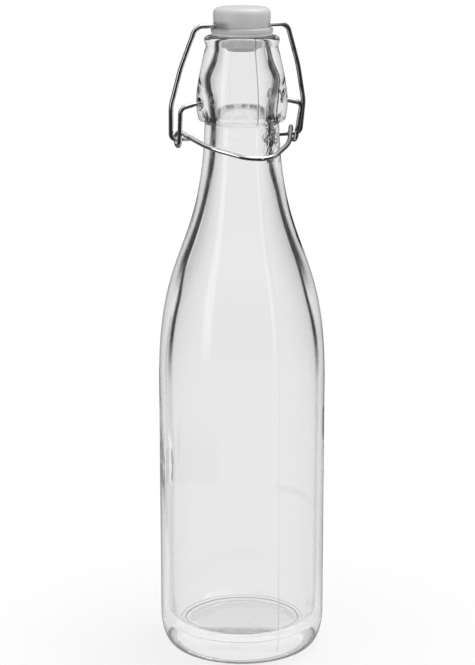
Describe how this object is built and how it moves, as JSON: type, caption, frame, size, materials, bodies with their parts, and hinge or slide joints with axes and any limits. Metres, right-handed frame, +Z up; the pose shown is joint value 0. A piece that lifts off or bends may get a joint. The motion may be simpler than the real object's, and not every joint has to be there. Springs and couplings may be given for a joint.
{
  "type": "swing-top bottle",
  "caption": "Clear glass bottle with a long shoulder, closed by a white stopper on a bent wire toggle with a front handle.",
  "frame": {"origin": "on the bottle's axis, at the height of the surface that it stands on", "axes": "+Z up along the bottle's axis, -Y towards the handle, X along the hinge lines"},
  "size_m": [0.068, 0.068, 0.2656],
  "materials": {
    "glass": "clear, fire-polished",
    "wire": "bright plated round wire",
    "stopper": "smooth, slightly glossy white moulding",
    "gasket": "soft pale grey seal"
  },
  "bodies": {
    "bottle": {"bottle_glass": "glass"},
    "lever": {"lever_wire": "wire"},
    "bail": {"bail_wire": "wire"},
    "stopper": {"stopper": "stopper", "gasket": "gasket"}
  },
  "joints": [
    {"name": "lever_hinge", "type": "hinge", "parent": "bottle", "child": "lever", "pos_m": [0, 0, 0.2277], "axis": [-1, 0, 0], "range_deg": [0, 98], "deforming": ["gasket"]},
    {"name": "bail_hinge", "type": "hinge", "parent": "lever", "child": "bail", "pos_m": [0, 0.0063, 0.2132], "axis": [-1, 0, 0], "range_deg": [-66.64, 0]},
    {"name": "stopper_hinge", "type": "hinge", "parent": "bail", "child": "stopper", "pos_m": [0, 0, 0.2581], "axis": [-1, 0, 0], "range_deg": [-31.36, 0]}
  ],
  "couplings": [
    {"joint": "bail_hinge", "follows": "lever_hinge", "ratio": -0.68},
    {"joint": "stopper_hinge", "follows": "lever_hinge", "ratio": -0.32}
  ]
}
